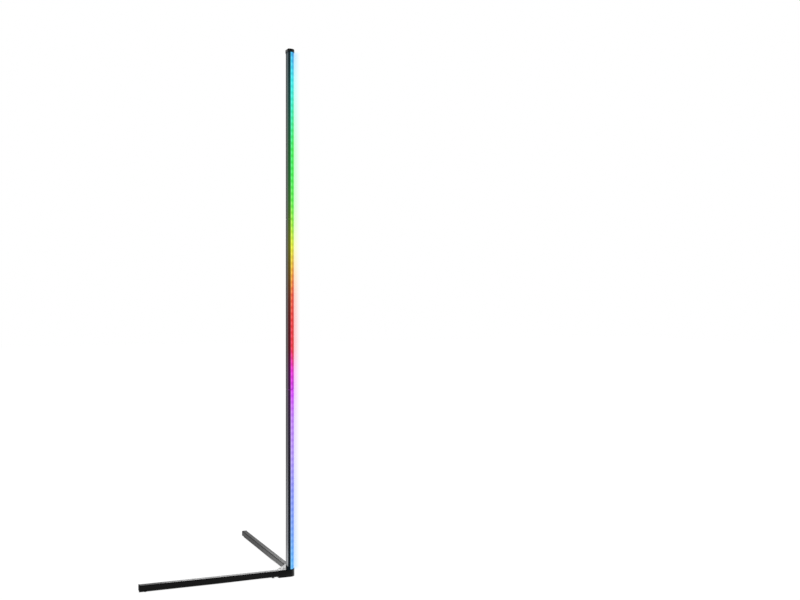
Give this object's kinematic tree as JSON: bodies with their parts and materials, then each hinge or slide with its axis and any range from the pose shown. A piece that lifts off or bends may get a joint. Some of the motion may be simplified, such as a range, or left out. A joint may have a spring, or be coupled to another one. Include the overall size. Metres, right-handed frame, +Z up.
{
  "type": "floor lamp",
  "caption": "Tall slim corner light post with a rounded glowing lens, on a low L-shaped foot of square tubes.",
  "frame": {"origin": "on the floor, under the corner of the V-shaped post, on the underside of the block's rubber pad", "axes": "+Z up along the post; the left leg runs along -X and the rear leg along +Y; the lens faces the room's corner, towards +X and -Y"},
  "size_m": [0.4184, 0.4184, 1.391],
  "materials": {
    "block": "satin",
    "leg": "satin",
    "post": "satin",
    "shoe": "matte",
    "cap": "matte",
    "leg_tip": "matte",
    "cover": "matte",
    "rubber": "matte",
    "lens_low": "satin",
    "lens_mid": "satin",
    "lens_top": "satin",
    "strip": "satin",
    "led": "gloss",
    "strip_plug": "satin",
    "splice": "satin",
    "screw": "satin",
    "jack": "satin",
    "contact": "polished",
    "spring": "satin",
    "board": "satin",
    "chips": "matte",
    "lead": "satin"
  },
  "bodies": {
    "root": {"corner_block": "block", "base_cover": "cover", "base_pad": "rubber", "cover_screws": "screw", "post_shoe": "shoe", "shoe_screw": "screw", "shoe_grubs": "screw", "post_lower": "post", "post_middle": "post", "post_upper": "post", "lens_lower": "lens_low", "lens_middle": "lens_mid", "lens_upper": "lens_top", "strip_lower": "strip", "strip_middle": "strip", "strip_upper": "strip", "leds_lower": "led", "leds_middle": "led", "leds_upper": "led", "splice_lower": "splice", "splice_upper": "splice", "splice_grubs": "screw", "strip_plug_lower": "strip_plug", "strip_plug_upper": "strip_plug", "top_cap": "cap", "left_leg": "leg", "rear_leg": "leg", "left_leg_tip": "leg_tip", "rear_leg_tip": "leg_tip", "leg_screws": "screw", "leg_feet": "rubber", "power_jack": "jack", "jack_pin": "contact", "jack_spring": "spring", "control_board": "board", "board_parts": "chips", "board_screws": "screw", "jack_leads": "lead", "strip_leads": "lead"}
  },
  "joints": []
}
